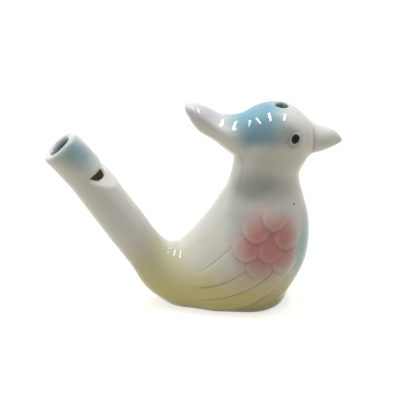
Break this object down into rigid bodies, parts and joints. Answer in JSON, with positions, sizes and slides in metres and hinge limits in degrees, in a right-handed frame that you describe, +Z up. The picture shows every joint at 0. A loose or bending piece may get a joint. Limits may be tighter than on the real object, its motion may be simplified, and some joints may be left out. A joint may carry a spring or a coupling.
{
  "type": "ceramic bird whistle",
  "caption": "Hollow glazed ceramic bird that holds water, with a crest, beak and feather relief, and a raised tail tube that is blown through a mouthpiece over a scooped window.",
  "frame": {"origin": "on the surface that the whistle stands on, under the middle of its foot", "axes": "+X the way the bird faces, +Y to its left, +Z up"},
  "size_m": [0.0752, 0.0298, 0.0531],
  "materials": {
    "body_glaze": "glossy off-white glaze",
    "foot_glaze": "glossy glaze, airbrushed yellow-green",
    "crest_glaze": "glossy glaze, airbrushed sky blue",
    "wing_glaze": "glossy glaze, airbrushed pink",
    "eye_glaze": "glossy black",
    "mouth_glaze": "glossy glaze, airbrushed pale blue",
    "bare_clay": "unglazed, matt"
  },
  "bodies": {
    "root": {"body_right_half": "body_glaze", "body_left_half": "body_glaze", "foot": "foot_glaze", "crest": "crest_glaze", "beak": "body_glaze", "right_wing": "wing_glaze", "left_wing": "wing_glaze", "right_eye": "eye_glaze", "left_eye": "eye_glaze", "tail_tube": "body_glaze", "mouthpiece": "mouth_glaze", "fipple_block": "bare_clay"}
  },
  "joints": []
}
